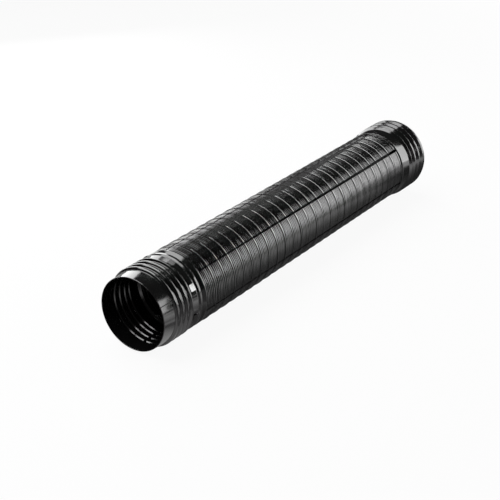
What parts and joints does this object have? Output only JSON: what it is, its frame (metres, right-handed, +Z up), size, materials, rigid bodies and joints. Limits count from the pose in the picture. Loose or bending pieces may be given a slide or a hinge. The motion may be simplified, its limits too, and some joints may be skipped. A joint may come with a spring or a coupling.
{
  "type": "flexible downspout extension",
  "caption": "Black pleated plastic drain pipe, pushed together, with a plain lip and snap rings at one end and a wide ribbed collar at the other.",
  "frame": {"origin": "on the ground, under the middle of the box round the pipe as it lies", "axes": "+Y along the pipe from the plain lip to the ribbed collar, rising by a third of a degree because the collar is the wider end; +X across; +Z up"},
  "size_m": [0.118, 0.6836, 0.1174],
  "materials": {
    "black_plastic": "glossy black blown polyethylene"
  },
  "bodies": {
    "root": {"bellows_pipe": "black_plastic"}
  },
  "joints": []
}
